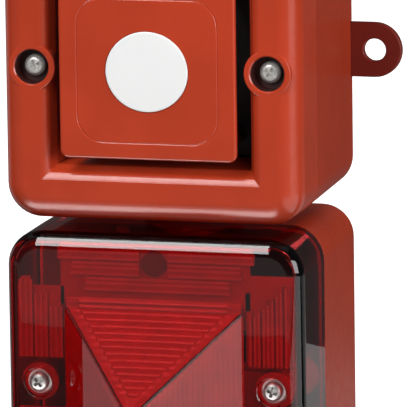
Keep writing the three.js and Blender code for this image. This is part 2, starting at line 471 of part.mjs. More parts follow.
// ---------------------------------------------------------------- lens
let lens = loft([
  { d: STROBE_SPLIT + 0.3, pts: outline(HALF_W, STROBE_HALF_H, CORNER_R, 6, 0, SZ) },
  ...[0, 1, 2, 3].map((i) => {
    const a = (i / 3) * (Math.PI / 2), f = LENS_FILLET * (1 - Math.cos(a));
    return { d: LENS_FRONT - LENS_FILLET + LENS_FILLET * Math.sin(a), pts: outline(HALF_W - f, STROBE_HALF_H - f, CORNER_R - f, 6, 0, SZ) };
  }),
]);
const tipHalf = (PYRAMID_HALF * (PYRAMID_APEX - PYRAMID_TIP)) / (PYRAMID_APEX - LENS_FRONT);
const PYR_IN = 3.6; // wall of the pyramid, measured along depth
lens = join(lens, loft([{ d: LENS_FRONT - 1, pts: outline(PYRAMID_HALF, PYRAMID_HALF, 0.4, 1, 0, TZ) }, { d: LENS_FRONT, pts: outline(PYRAMID_HALF, PYRAMID_HALF, 0.4, 1, 0, TZ) }, { d: PYRAMID_TIP, pts: outline(tipHalf, tipHalf, 0.3, 1, 0, TZ) }]));
lens = cut(
  lens,
  loft([
    { d: STROBE_SPLIT - 1, pts: outline(HALF_W - LENS_WALL, STROBE_HALF_H - LENS_WALL, CORNER_R - LENS_WALL, 4, 0, SZ) },
    { d: LENS_FRONT - 5, pts: outline(HALF_W - LENS_WALL - 0.3, STROBE_HALF_H - LENS_WALL - 0.3, CORNER_R - LENS_WALL - 0.3, 4, 0, SZ) },
    { d: LENS_FRONT - LENS_WALL, pts: outline(HALF_W - LENS_WALL - 2.4, STROBE_HALF_H - LENS_WALL - 2.4, CORNER_R - LENS_WALL - 2.4, 4, 0, SZ) },
  ]),
  loft([
    { d: LENS_FRONT - 4, pts: outline(PYRAMID_HALF - 1, PYRAMID_HALF - 1, 0.4, 1, 0, TZ) },
    { d: LENS_FRONT - LENS_WALL + 0.4, pts: outline(PYRAMID_HALF - 1, PYRAMID_HALF - 1, 0.4, 1, 0, TZ) },
    { d: PYRAMID_TIP - PYR_IN, pts: outline(tipHalf, tipHalf, 0.3, 1, 0, TZ) },
  ]),
);
for (const sx of [-1, 1]) lens = join(lens, rodY(sx * SCREW_X, SZ, 6.8, STROBE_SPLIT + 0.3, LENS_FRONT - 1, 18));
for (const sx of [-1, 1]) lens = cut(lens, rodY(sx * SCREW_X, SZ, 5, LENS_FRONT - 4.4, LENS_FRONT + 1, 20), rodY(sx * SCREW_X, SZ, SHANK_HOLE_R, STROBE_SPLIT - 1, LENS_FRONT, 10));
piece(lensGroup, "lens", lens, material(LENS_RED, 0.08, 0, { transparent: true, opacity: 0.45 }));

// ---------------------------------------------------------------- captive screws, with their washers
function captiveScrew(parent, name, x, z, seat, tip, headR, headH, mat) {
  const d0 = seat + GAP, d1 = seat + GAP + headH;
  const head = turned([[0, d0], [headR, d0], [headR, d0 + headH * 0.45], [headR * 0.86, d0 + headH * 0.82], [headR * 0.55, d1], [0, d1]], x, z, 16);
  let s = join(head, rodY(x, z, SHANK_R, tip, d0 + 1, 8));
  s = cut(s, box(x - headR * 0.62, x + headR * 0.62, d1 - 1.5, d1 + 1, z - 0.5, z + 0.5), box(x - 0.5, x + 0.5, d1 - 1.5, d1 + 1, z - headR * 0.62, z + headR * 0.62));
  return piece(parent, name, s, mat);
}
const washer = (x, z, d0, r) => cut(rodY(x, z, r, d0 + GAP, d0 + GAP + 0.8, 20), rodY(x, z, 2.3, d0 - 1, d0 + 3, 10));
for (const [side, sx] of [["left", -1], ["right", 1]]) {
  captiveScrew(cover, "cover_screw_" + side, sx * SCREW_X, 0, HORN_FRONT - 6.2, 20, 3.7, 2.8, material(STEEL, 0.25, 0.95));
  piece(lensGroup, "lens_washer_" + side, washer(sx * SCREW_X, SZ, LENS_FRONT - 4.4, 4.4), material(STEEL, 0.25, 0.95));
  captiveScrew(lensGroup, "lens_screw_" + side, sx * SCREW_X, SZ, LENS_FRONT - 4.4 + GAP + 0.8, 20, 3.6, 2.4, material(STEEL, 0.25, 0.95));
}

export default root;
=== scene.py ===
import json
import math
import bpy
import bmesh
from mathutils import Matrix, Vector


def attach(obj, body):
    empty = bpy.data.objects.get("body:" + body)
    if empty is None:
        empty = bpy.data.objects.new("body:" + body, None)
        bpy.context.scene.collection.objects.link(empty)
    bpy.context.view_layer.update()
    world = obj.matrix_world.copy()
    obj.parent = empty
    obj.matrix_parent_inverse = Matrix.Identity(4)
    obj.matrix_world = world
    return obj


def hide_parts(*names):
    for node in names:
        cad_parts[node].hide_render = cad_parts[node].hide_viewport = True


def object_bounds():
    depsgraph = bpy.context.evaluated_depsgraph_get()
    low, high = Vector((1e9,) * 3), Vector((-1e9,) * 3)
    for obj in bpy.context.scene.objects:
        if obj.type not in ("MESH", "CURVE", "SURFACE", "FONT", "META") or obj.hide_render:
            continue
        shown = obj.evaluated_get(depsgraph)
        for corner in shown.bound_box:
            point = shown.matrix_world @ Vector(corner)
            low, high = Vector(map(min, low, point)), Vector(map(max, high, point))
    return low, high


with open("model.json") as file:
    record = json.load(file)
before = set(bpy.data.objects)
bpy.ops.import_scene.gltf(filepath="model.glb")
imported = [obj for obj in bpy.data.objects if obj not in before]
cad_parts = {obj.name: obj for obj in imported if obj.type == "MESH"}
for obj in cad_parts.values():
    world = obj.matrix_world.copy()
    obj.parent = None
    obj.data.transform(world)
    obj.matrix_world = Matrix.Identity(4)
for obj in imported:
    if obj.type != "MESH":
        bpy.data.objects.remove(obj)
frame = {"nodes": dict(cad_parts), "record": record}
CAD_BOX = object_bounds()
NODES = frame["nodes"]
scene = bpy.context.scene
MM = 0.001

# ------------------------------------------------------------------ camera
A, E, ROLL = math.radians(15.43), math.radians(10.6), math.radians(-0.787)
back = Vector((math.sin(A) * math.cos(E), -math.cos(A) * math.cos(E), math.sin(E)))
right = Vector((math.cos(A), math.sin(A), 0))
up = back.cross(right)
r2 = math.cos(ROLL) * right + math.sin(ROLL) * up
u2 = -math.sin(ROLL) * right + math.cos(ROLL) * up
cam_data = bpy.data.cameras.new("camera")
cam = bpy.data.objects.new("camera", cam_data)
scene.collection.objects.link(cam)
cam_data.sensor_width = 36.0
cam_data.lens = 7448 * 36.0 / 407
cam_data.clip_end = 50
place = Vector((13.52, -60, -48.15)) * MM + back * 2.523
m = Matrix((r2, u2, back)).transposed().to_4x4()
m.translation = place
cam.matrix_world = m
scene.camera = cam

# ------------------------------------------------------------------ mesh tools (all in mm; d is the distance in front of the wall)
def outline(hw, hh, r, n=8, cx=0.0, cz=0.0):
    pts = []
    for sx, sz, q in ((1, 1, 0), (-1, 1, 1), (-1, -1, 2), (1, -1, 3)):
        for i in range(n + 1):
            a = (q + i / n) * math.pi / 2
            pts.append((cx + sx * (hw - r) + r * math.cos(a), cz + sz * (hh - r) + r * math.sin(a)))
    return pts


def rounded(points, radii, seg=4, closed=False):
    """A 2-D polyline with its corners rounded."""
    out = []
    n = len(points)
    for i, p in enumerate(points):
        r = radii[i] if isinstance(radii, (list, tuple)) else radii
        if r <= 0 or (not closed and i in (0, n - 1)):
            out.append(tuple(p))
            continue
        p, a, b = Vector(p), Vector(points[i - 1]), Vector(points[(i + 1) % n])
        u, v = (a - p).normalized(), (b - p).normalized()
        cosang = max(-0.9999, min(0.9999, u.dot(v)))
        half = math.acos(cosang) / 2
        if half > 1.55:
            out.append(tuple(p))
            continue
        t = min(r / math.tan(half), (a - p).length * 0.49, (b - p).length * 0.49)
        r = t * math.tan(half)
        c = p + (u + v).normalized() * (r / math.sin(half))
        s, e = p + u * t - c, p + v * t - c
        a0 = math.atan2(s.y, s.x)
        turn = math.atan2(e.y, e.x) - a0
        turn = (turn + math.pi) % (2 * math.pi) - math.pi
        for k in range(seg + 1):
            ang = a0 + turn * k / seg
            out.append((c.x + r * math.cos(ang), c.y + r * math.sin(ang)))
    return out


class Build:
    def __init__(self):
        self.v, self.f, self.m = [], [], []

    def face(self, idx, mat=0):
        self.f.append(tuple(idx))
        self.m.append(mat)

    def rings(self, rings, mat=0, cap0=True, cap1=True, loop=False):
        """rings of (d, points) or lists of (x, d, z) points"""
        base, n = len(self.v), None
        for ring in rings:
            pts = [(x, ring[0], z) for x, z in ring[1]] if isinstance(ring, tuple) else ring
            n = len(pts)
            self.v.extend(pts)
        k = len(rings)
        for a in range(k if loop else k - 1):
            b = (a + 1) % k
            for i in range(n):
                j = (i + 1) % n
                self.face((base + a * n + i, base + a * n + j, base + b * n + j, base + b * n + i), mat)
        if not loop:
            if cap0:
                self.face([base + i for i in range(n)], mat)
            if cap1:
                self.face([base + (k - 1) * n + i for i in range(n)], mat)
        return self

    def turned(self, profile, x=0.0, z=0.0, n=32, mat=0, axis="y"):
        """profile of (radius, position along the axis), closed on itself or ending on the axis"""
        base = len(self.v)
        rows = []
        for r, d in profile:
            if r < 1e-6:
                rows.append([len(self.v)])
                self.v.append(self._at(0, 0, d, x, z, axis))
            else:
                rows.append(list(range(len(self.v), len(self.v) + n)))
                for i in range(n):
                    a = 2 * math.pi * (i + 0.5) / n
                    self.v.append(self._at(r * math.cos(a), r * math.sin(a), d, x, z, axis))
        ends_on_axis = len(rows[0]) == 1 and len(rows[-1]) == 1
        count = len(rows) - 1 if ends_on_axis else len(rows)
        for k in range(count):
            a, b = rows[k], rows[(k + 1) % len(rows)]
            if len(a) == 1 and len(b) == 1:
                continue
            for i in range(n):
                j = (i + 1) % n
                if len(a) == 1:
                    self.face((a[0], b[j], b[i]), mat)
                elif len(b) == 1:
                    self.face((a[i], a[j], b[0]), mat)
                else:
                    self.face((a[i], a[j], b[j], b[i]), mat)
        return self

    @staticmethod
    def _at(u, w, t, x, z, axis):
        if axis == "y":
            return (x + u, t, z + w)
        if axis == "z":  # x, z hold x and d of the axis; t is the height
            return (x + u, z + w, t)
        return (t, x + u, z + w)  # along X: x, z hold d and z of the axis

    def box(self, x0, x1, d0, d1, z0, z1, mat=0):
        b = len(self.v)
        for x in (x0, x1):
            for d in (d0, d1):
                for z in (z0, z1):
                    self.v.append((x, d, z))
        for q in ((0, 1, 3, 2), (4, 6, 7, 5), (0, 4, 5, 1), (2, 3, 7, 6), (0, 2, 6, 4), (1, 5, 7, 3)):
            self.face([b + i for i in q], mat)
        return self

    def mesh(self, name):
        me = bpy.data.meshes.new(name)
        me.from_pydata([(x * MM, -d * MM, z * MM) for x, d, z in self.v], [], self.f)
        for p, mi in zip(me.polygons, self.m):
            p.material_index = mi
        bm = bmesh.new()
        bm.from_mesh(me)
        bmesh.ops.remove_doubles(bm, verts=bm.verts, dist=1e-7)
        bmesh.ops.recalc_face_normals(bm, faces=bm.faces)
        bm.to_mesh(me)
        bm.free()
        me.validate()
        return me

    def object(self, name):
        o = bpy.data.objects.new(name, self.mesh(name))
        scene.collection.objects.link(o)
        return o


def boolean(o, cutters, op="DIFFERENCE"):
    for c in cutters:
        mod = o.modifiers.new("b", "BOOLEAN")
        mod.operation, mod.solver, mod.object = op, "EXACT", c
    bpy.context.view_layer.update()
    me = bpy.data.meshes.new_from_object(o.evaluated_get(bpy.context.evaluated_depsgraph_get()))
    o.modifiers.clear()
    old = o.data
    o.data = me
    bpy.data.meshes.remove(old)
    for c in cutters:
        bpy.data.objects.remove(c)
    return o


def soften(o, width, seg=2, angle=35):
    """A real rounded edge on every sharp edge."""
    bm = bmesh.new()
    bm.from_mesh(o.data)
    bmesh.ops.dissolve_degenerate(bm, edges=bm.edges, dist=1e-7)
    edges = [e for e in bm.edges if len(e.link_faces) == 2 and e.calc_face_angle(0) > math.radians(angle)]
    bmesh.ops.bevel(bm, geom=edges, offset=width * MM, segments=seg, profile=0.5, affect="EDGES", clamp_overlap=True)
    bm.to_mesh(o.data)
    bm.free()
    return o


def dress(o, body, mats, replaces=(), sharp=32):
    o.data.materials.clear()
    for mt in mats if isinstance(mats, (list, tuple)) else [mats]:
        o.data.materials.append(mt)
    o.data.shade_smooth()
    if sharp:
        o.data.set_sharp_from_angle(angle=math.radians(sharp))
    wn = o.modifiers.new("flat faces stay flat", "WEIGHTED_NORMAL")
    wn.weight, wn.keep_sharp = 100, True
    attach(o, body)
    if replaces:
        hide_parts(*replaces)
    return o


# ------------------------------------------------------------------ materials
def srgb(r, g, b):
    f = lambda c: c / 12.92 if c <= 0.04045 else ((c + 0.055) / 1.055) ** 2.4
    return (f(r / 255), f(g / 255), f(b / 255), 1.0)


def new_mat(name):
    mt = bpy.data.materials.new(name)
    mt.use_nodes = True
    nt = mt.node_tree
    return mt, nt, nt.nodes["Principled BSDF"]


def coords(nt):
    return nt.nodes.new("ShaderNodeTexCoord").outputs["Object"]


def noise(nt, scale, detail=3.0, rough=0.5):
    n = nt.nodes.new("ShaderNodeTexNoise")
    n.inputs["Scale"].default_value = scale
    n.inputs["Detail"].default_value = detail
    n.inputs["Roughness"].default_value = rough
    nt.links.new(coords(nt), n.inputs["Vector"])
    return n.outputs["Fac"]


def ramp(nt, fac, stops):
    r = nt.nodes.new("ShaderNodeValToRGB")
    els = r.color_ramp.elements
    while len(els) < len(stops):
        els.new(0.5)
    for e, (p, c) in zip(els, stops):
        e.position, e.color = p, c
    nt.links.new(fac, r.inputs["Fac"])
    return r.outputs["Color"]


def to_range(nt, fac, lo, hi):
    n = nt.nodes.new("ShaderNodeMapRange")
    n.inputs["To Min"].default_value, n.inputs["To Max"].default_value = lo, hi
    n.inputs["From Min"].default_value, n.inputs["From Max"].default_value = 0.3, 0.7
    nt.links.new(fac, n.inputs["Value"])
    return n.outputs["Result"]


def bump(nt, fac, dist, strength=1.0):
    b = nt.nodes.new("ShaderNodeBump")
    b.inputs["Distance"].default_value = dist
    b.inputs["Strength"].default_value = strength
    nt.links.new(fac, b.inputs["Height"])
    return b.outputs["Normal"]


def plastic(name, c, rough=0.35, vary=0.06, grain=2500.0, depth=0.00002, coat=0.0, blotch=35.0, spec=0.5):
    """Moulded plastic: a slow drift of tone, a fine orange-peel surface and uneven gloss."""
    mt, nt, p = new_mat(name)
    dark = tuple(v * (1 - vary) for v in c[:3]) + (1,)
    light = tuple(min(1, v * (1 + vary)) for v in c[:3]) + (1,)
    nt.links.new(ramp(nt, noise(nt, blotch), [(0.35, dark), (0.65, light)]), p.inputs["Base Color"])
    nt.links.new(to_range(nt, noise(nt, grain * 0.1, 2), rough * 0.9, rough * 1.12), p.inputs["Roughness"])
    nt.links.new(bump(nt, noise(nt, grain, 2), depth, 0.5), p.inputs["Normal"])
    p.inputs["Specular IOR Level"].default_value = spec
    if coat:
        p.inputs["Coat Weight"].default_value = coat
        p.inputs["Coat Roughness"].default_value = 0.08
    return mt


def metal(name, c, rough=0.25, scale=900.0, stretch=(1, 1, 1), metallic=1.0):
    mt, nt, p = new_mat(name)
    mp = nt.nodes.new("ShaderNodeMapping")
    mp.inputs["Scale"].default_value = stretch
    nt.links.new(coords(nt), mp.inputs["Vector"])
    n = nt.nodes.new("ShaderNodeTexNoise")
    n.inputs["Scale"].default_value = scale
    n.inputs["Detail"].default_value = 4
    nt.links.new(mp.outputs["Vector"], n.inputs["Vector"])
    dark = tuple(v * 0.82 for v in c[:3]) + (1,)
    nt.links.new(ramp(nt, n.outputs["Fac"], [(0.3, dark), (0.7, c)]), p.inputs["Base Color"])
    nt.links.new(to_range(nt, n.outputs["Fac"], rough * 0.8, rough * 1.3), p.inputs["Roughness"])
    nt.links.new(bump(nt, n.outputs["Fac"], 0.00002, 0.4), p.inputs["Normal"])
    p.inputs["Metallic"].default_value = metallic
    return mt


def glass(name, c, tint, rough=0.02, ior=1.5, wave=0.0):
    """Clear moulded plastic that also lets lamps through, tinted."""
    mt, nt, p = new_mat(name)
    p.inputs["Base Color"].default_value = c
    p.inputs["Transmission Weight"].default_value = 1.0
    p.inputs["Roughness"].default_value = rough
    p.inputs["IOR"].default_value = ior
    if wave:
        nt.links.new(bump(nt, noise(nt, 60.0, 1), wave, 0.6), p.inputs["Normal"])
    lp = nt.nodes.new("ShaderNodeLightPath")
    tr = nt.nodes.new("ShaderNodeBsdfTransparent")
    tr.inputs["Color"].default_value = tint
    mix = nt.nodes.new("ShaderNodeMixShader")
    nt.links.new(lp.outputs["Is Shadow Ray"], mix.inputs["Fac"])
    nt.links.new(p.outputs["BSDF"], mix.inputs[1])
    nt.links.new(tr.outputs["BSDF"], mix.inputs[2])
    nt.links.new(mix.outputs["Shader"], nt.nodes["Material Output"].inputs["Surface"])
    return mt


def lit_red(name, c, rough=0.25, trans=0.0, scale=180.0):
    """Red moulding seen from inside the lens: it carries its own tone."""
    mt, nt, p = new_mat(name)
    dark = tuple(v * 0.82 for v in c[:3]) + (1,)
    nt.links.new(ramp(nt, noise(nt, scale), [(0.3, dark), (0.7, c)]), p.inputs["Base Color"])
    p.inputs["Roughness"].default_value = rough
    p.inputs["Transmission Weight"].default_value = trans
    return mt


RED = plastic("red_moulding", (0.50, 0.047, 0.015, 1), rough=0.23)
RED_BASE = plastic("red_moulding_base", (0.38, 0.037, 0.013, 1), rough=0.36, spec=0.22)
# painted shade: the fixing lugs take a darker copy of the red
RED_LUG_PAINTED_SHADE = plastic("red_moulding_lug_painted_shade", (0.19, 0.018, 0.011, 1), rough=0.4, spec=0.3)
# painted shade: a dark red for the screw wells and the deflector cone, standing in for their shadow
RED_PAINTED_SHADE = plastic("red_moulding_painted_shade", (0.045, 0.007, 0.006, 1), rough=0.5)
RED_IN = plastic("red_moulding_inside", (0.34, 0.036, 0.015, 1), rough=0.5)
BLACKP = plastic("black_plastic", (0.016, 0.016, 0.017, 1), rough=0.5, vary=0.2)
RUBBER = plastic("rubber_black", (0.012, 0.012, 0.012, 1), rough=0.75, vary=0.25, grain=5000)
GREYR = plastic("rubber_grey", (0.1, 0.1, 0.1, 1), rough=0.7)
WHITE = plastic("badge_white", (0.95, 0.95, 0.945, 1), rough=0.35, vary=0.01)
CREAM = plastic("holder_cream", (0.72, 0.66, 0.52, 1), rough=0.55)
REFL = plastic("reflector_white", (0.86, 0.85, 0.82, 1), rough=0.22, vary=0.02)
STEEL_HEAD = metal("screw_steel_head", (0.88, 0.86, 0.83, 1), rough=0.34, metallic=0.6)
STEEL_LENS = metal("screw_steel_under_lens", (0.40, 0.38, 0.37, 1), rough=0.42)
STEEL = metal("screw_steel", (0.74, 0.72, 0.69, 1), rough=0.22)
PLATED = metal("plated_steel", (0.62, 0.6, 0.55, 1), rough=0.34)
LENS = glass("red_lens_clear", (0.72, 0.05, 0.055, 1), (0.80, 0.10, 0.11, 1), rough=0.008, wave=0.00003)
RIB = lit_red("red_lens_rib", (0.30, 0.04, 0.045, 1), rough=0.3)
PRISM = lit_red("red_lens_prism", (0.31, 0.022, 0.022, 1), rough=0.22)
PRISM_DARK = lit_red("red_lens_dark", (0.1, 0.012, 0.012, 1), rough=0.3)
TUBE = glass("tube_glass", (0.95, 0.97, 0.98, 1), (0.9, 0.93, 0.95, 1), rough=0.01)


# ------------------------------------------------------------------ dimensions
HALF_W, HORN_HH, STROBE_HH = 52.0, 52.5, 52.0
CR = 12.0
SZ = -109.0
SPLIT_H, FRONT_H = 54.0, 78.0
SPLIT_S, FRONT_S = 46.0, 77.5
SX = 41.1
TZ = SZ - 4.4  # centre of the pyramid and the tube


# ------------------------------------------------------------------ rear housings
def rear_housing(name, node, hh, split, cz):
    b = Build()
    n = 10
    ring = lambda ins, d, dr=0.0: (d, outline(HALF_W - ins, hh - ins, max(CR - ins - dr, 1.0), n, 0, cz))
    outer = rounded([(3.5, 0.0), (1.0, 0.0), (0.0, split), (1.0, split)], [0, 1.3, 0.35, 0], 4)
    rows = [ring(i, d) for i, d in outer]
    # seal groove, rim, inner wall, floor
    for i, d in rounded([(1.0, split), (1.0, split - 2), (3.4, split - 2), (3.4, split), (4.5, split), (4.5, split - 4), (3.1, split - 5), (4.0, 3.6)], [0, 0.1, 0.1, 0.2, 0.2, 0.3, 0.3, 0], 2)[1:]:
        rows.append(ring(i, d))
    b.rings(rows)
    o = b.object(name)
    return o


horn_back = rear_housing("horn_rear_housing_v", "horn_rear_housing", HORN_HH, SPLIT_H, 0)
strobe_back = rear_housing("strobe_rear_housing_v", "strobe_rear_housing", STROBE_HH, SPLIT_S, SZ)
cutters = []
for sx in (-1, 1):
    c = Build().box(min(sx * 37.2, sx * 56), max(sx * 37.2, sx * 56), -1, 3.3, -13.2, 6.4)
    cutters.append(c.object("c"))
c = Build().turned([(9.7, -1), (10.5, -1), (10.5, 1.2), (10.1, 1.6), (9.7, 1.2)], 0, 26, 40)
cutters.append(c.object("c"))
boolean(horn_back, cutters)
c = Build().turned([(9.7, -1), (10.5, -1), (10.5, 1.2), (10.1, 1.6), (9.7, 1.2)], 0, SZ - 26, 40)
boolean(strobe_back, [c.object("c")])


def pillars(cz, split):
    b = Build()
    for sx in (-1, 1):
        b.turned(rounded([(2.3, 16), (2.3, split - 1.5), (5.4, split - 1.5), (6.0, 3), (2.3, 3)], [0, 0.3, 0.5, 0, 0], 3), sx * SX, cz, 24)
        for sz in (-1, 1):
            b.turned(rounded([(1.5, 5), (1.5, 8.2), (3.2, 8.2), (3.5, 3), (1.5, 3)], [0, 0.2, 0.3, 0, 0], 3), sx * 29, cz + sz * 37, 20)
            # stiffening webs down the side walls
            b.box(sx * 49.4 - 0.8, sx * 49.4 + 0.8, 3.4, split - 8, cz + sz * 24 - 0.7, cz + sz * 24 + 0.7)
    return b


dress(pillars(0, SPLIT_H).object("horn_housing_pillars"), "base", RED_IN)
dress(pillars(SZ, SPLIT_S).object("strobe_housing_pillars"), "base", RED_IN)
dress(horn_back, "base", RED_BASE, ["horn_rear_housing"])
dress(strobe_back, "base", RED_BASE, ["strobe_rear_housing"])


# ------------------------------------------------------------------ fixing lugs
def lug(side, sx):
    zc, xc, r = -3.4, 59.4, 9.5
    pts = [(sx * 37.5, zc - r)]
    m_ = 20
    for i in range(m_ + 1):
        a = -math.pi / 2 + math.pi * i / m_
        pts.append((sx * (xc + r * math.cos(a)), zc + r * math.sin(a)))
    pts.append((sx * 37.5, zc + r))
    o = Build().rings([(0.0, pts), (3.0, pts)]).object("fixing_lug_%s_v" % side)
    hole = Build().turned([(0, -1), (3.9, -1), (3.9, 4), (0, 4)], sx * xc, zc, 32).object("c")
    hole2 = Build().turned([(0, -1), (1.9, -1), (1.9, 4), (0, 4)], sx * 42.5, zc, 20).object("c")
    boolean(o, [hole, hole2])
    soften(o, 0.55, 3)
    # the lug's darker red is painted shade
    dress(o, "base", RED_LUG_PAINTED_SHADE, ["fixing_lug_%s" % side], sharp=40)


lug("left", -1)
lug("right", 1)


# ------------------------------------------------------------------ horn front cover
def cover():
    n = 10
    rows = []

    def add(prof, hw_of, hh_of, r_of):
        for i, d in prof:
            rows.append((d, outline(hw_of(i), hh_of(i), r_of(i), n)))

    outer = rounded([(3.0, 54.06), (0.0, 54.06), (0.0, 78.0), (18.0, 78.0)], [0, 0.3, 8.0, 0], 14)
    add(outer[:-1], lambda i: HALF_W - i, lambda i: HORN_HH - i, lambda i: CR - i)
    # the mouth, as half sizes: lip, chamfer, throat
    mouth = rounded([(40.5, 78.0), (38.4, 78.0), (37.9, 77.88), (37.3, 77.6), (36.7, 77.2), (36.15, 76.72), (35.6, 75.9), (34.9, 74.2), (33.9, 72.4), (33.2, 65), (32.2, 56.2), (34.9, 56.2), (40.4, 74.5), (45.2, 74.5), (48.8, 71), (49.0, 54.3)], [0, 0.1, 0.1, 0.2, 0.2, 0.15, 0.3, 0.5, 0.8, 2, 0, 0, 0, 0, 1, 0], 3)
    for h, d in mouth:
        t = max(0.0, min(1.0, (h - 41) / 6))
        rows.append((d, outline(h, h + 0.5 * t, 0.35 + (8.6 * t if d < 76 else 0), n)))
    return Build().rings(rows, loop=True).object("horn_front_cover_v")


cov = cover()
boss = []
for sx in (-1, 1):
    boss.append(Build().turned(rounded([(0, 56.0), (8.2, 56.0), (8.2, 78.03), (0, 78.03)], [0, 0, 0.5, 0], 3), sx * SX, 0, 48).object("c"))
boolean(cov, boss, "UNION")
bores = []
for sx in (-1, 1):
    bores.append(Build().turned([(0, 71.8), (5.75, 71.8), (5.95, 77.6), (6.45, 78.1), (6.45, 80), (0, 80)], sx * SX, 0, 48).object("c"))
    bores.append(Build().turned([(0, 50), (2.3, 50), (2.3, 73), (0, 73)], sx * SX, 0, 24).object("c"))
boolean(cov, bores)
dress(cov, "horn_cover", [RED, RED_PAINTED_SHADE], ["horn_front_cover"])
for p_ in cov.data.polygons:  # the screw wells get the painted-shade red, a dark red that stands in for their shadow
    c = p_.center
    if c.y > -77.45 * MM and any(math.hypot(c.x - sx * SX * MM, c.z) < 6.1 * MM for sx in (-1, 1)):
        p_.material_index = 1

# ------------------------------------------------------------------ deflector plate
def plate():
    n = 8
    PX, PZ, F = 30.75, 30.2, 80.6
    rows = []
    edge = rounded([(3.6, F - 5), (3.2, F - 3.2), (0.0, F - 2.1), (0.0, F), (4.0, F)], [0, 0.6, 0.5, 1.55, 0], 6)
    for i, d in edge:
        rows.append((d, outline(PX - i, PZ - i, max(2.8 - i * 0.8, 0.8), n)))
    for h, d in rounded([(25.3, F), (24.75, F), (24.5, F - 0.25), (24.25, F), (23.4, F)], [0, 0.1, 0.1, 0.1, 0], 2):
        rows.append((d, outline(h, h, 9.0 - (24.5 - h) * 0.6, n)))
    o = Build().rings(rows).object("deflector_plate_v")
    pocket = Build().rings([(F - 0.45, oval(14.5, 13.85)), (F + 0.03, oval(14.6, 13.95)), (F + 1, oval(14.6, 13.95))]).object("c")
    boolean(o, [pocket])
    return o


def oval(rx, rz, n=96):
    return [(rx * math.cos(2 * math.pi * i / n), rz * math.sin(2 * math.pi * i / n)) for i in range(n)]


dress(plate(), "horn_cover", RED, ["deflector_plate"])
cone = Build().turned(rounded([(0, 60), (3.2, 60.6), (8, 65.6), (15, 70.3), (22, 73.6), (22, 74.5), (0, 74.5)], [0, 2, 5, 6, 0, 0, 0], 4), 0, 0, 48)
for x in (-25.5, 25.5):
    for z in (-24.5, 24.5):
        cone.turned([(0, 57), (2.6, 57), (2.9, 74.5), (0, 74.5)], x, z, 20)
# the deflector cone takes the painted-shade red, standing in for the dark gap behind the plate; the moulding itself is
# red
dress(cone.object("deflector_cone"), "horn_cover", RED_PAINTED_SHADE, sharp=45)

# blank round badge, with a fine rolled rim
badge = Build().rings([(80.2, oval(14.3, 13.65)), (80.72, oval(14.3, 13.65)), (80.86, oval(14.22, 13.57)), (80.94, oval(14.0, 13.35)), (80.95, oval(13.6, 12.95))])
dress(badge.object("round_badge_v"), "horn_cover", WHITE, ["round_badge"], sharp=50)


# ------------------------------------------------------------------ screws
def screw(name, body, x, z, d0, head_r, head_h, washer=None, node=None, turn=0.0):
    prof = rounded([(0, d0), (head_r, d0), (head_r, d0 + head_h * 0.5), (head_r * 0.72, d0 + head_h * 0.93), (0, d0 + head_h)], [0, 0.1, 0.9, 1.4, 0], 5)
    o = Build().turned(prof, x, z, 40).object(name)
    k = head_r * 0.62
    cut = []
    for a in (0, math.pi / 2):
        b = Build()
        top, bot = d0 + head_h + 0.3, d0 + head_h - 1.5
        ring = lambda hl, ht, d: [(x + u * math.cos(a + turn) - v * math.sin(a + turn), d, z + u * math.sin(a + turn) + v * math.cos(a + turn)) for u, v in ((-hl, -ht), (hl, -ht), (hl, ht), (-hl, ht))]
        b.rings([ring(k * 0.55, 0.34, bot), ring(k * 1.02, 0.58, top)])
        cut.append(b.object("c"))
    boolean(o, cut)
    # threaded shank below the head
    s = Build()
    prof = [(0, d0 + 0.4), (1.9, d0 + 0.4)]
    t = d0 - 0.2
    while t > 22.5:
        prof += [(1.9, t), (1.5, t - 0.35)] if t < d0 - 30 else [(1.9, t), (1.9, t - 0.35)]
        t -= 0.7
    prof += [(1.5, 21.2), (0.9, 20.1), (0, 20.1)]
    s.turned(prof, x, z, 20)
    sh = s.object(name + "_shank")
    dress(sh, body, STEEL, sharp=60)
    dress(o, body, STEEL_HEAD if d0 < 74 else STEEL_LENS, [node], sharp=32)


for side, sx, turn in (("left", -1, 0.35), ("right", 1, 0.95)):
    screw("cover_screw_%s_v" % side, "cover_screw_%s" % side, sx * SX, 0, 72.1, 3.7, 2.8, node="cover_screw_%s" % side, turn=turn)
    screw("lens_screw_%s_v" % side, "lens_screw_%s" % side, sx * SX, SZ, 74.5, 3.3, 2.3, node="lens_screw_%s" % side, turn=turn + 0.3)
    w = Build().turned(rounded([(2.2, 73.4), (4.4, 73.4), (4.4, 74.25), (2.2, 74.25)], 0.25, 3, closed=True), sx * SX, SZ, 40)
    dress(w.object("lens_washer_%s_v" % side), "strobe_lens", STEEL_LENS, ["lens_washer_%s" % side])


# ------------------------------------------------------------------ lens
def lens_shell():
    n = 10
    rows = []
    outer = rounded([(2.8, 46.06), (0.0, 46.06), (0.0, 77.5), (14.0, 77.5)], [0, 0.25, 5.6, 0], 12)
    for i, d in outer[:-1]:
        rows.append((d, outline(HALF_W - i, STROBE_HH - i, max(CR - i, 1), n, 0, SZ)))
    for h, d in ((31.1, 77.5), (30.9, 77.45), (30.75, 77.2), (30.75, 75.2), (30.9, 74.7)):
        rows.append((d, outline(h, h, 0.3, n, 0, TZ)))
    for i, d in rounded([(8.0, 74.7), (3.3, 74.7), (2.9, 72.0), (2.8, 46.06)], [0, 2.2, 0, 0], 5):
        rows.append((d, outline(HALF_W - i, STROBE_HH - i, max(CR - i, 1), n, 0, SZ)))
    return Build().rings(rows, loop=True).object("lens_shell")


shell = lens_shell()
seats = []
for sx in (-1, 1):
    seats.append(Build().turned([(0, 73.1), (4.9, 73.1), (5.0, 77.2), (5.35, 77.6), (5.35, 79), (0, 79)], sx * SX, SZ, 40).object("c"))
boolean(shell, seats)
dress(shell, "strobe_lens", LENS, ["lens"])

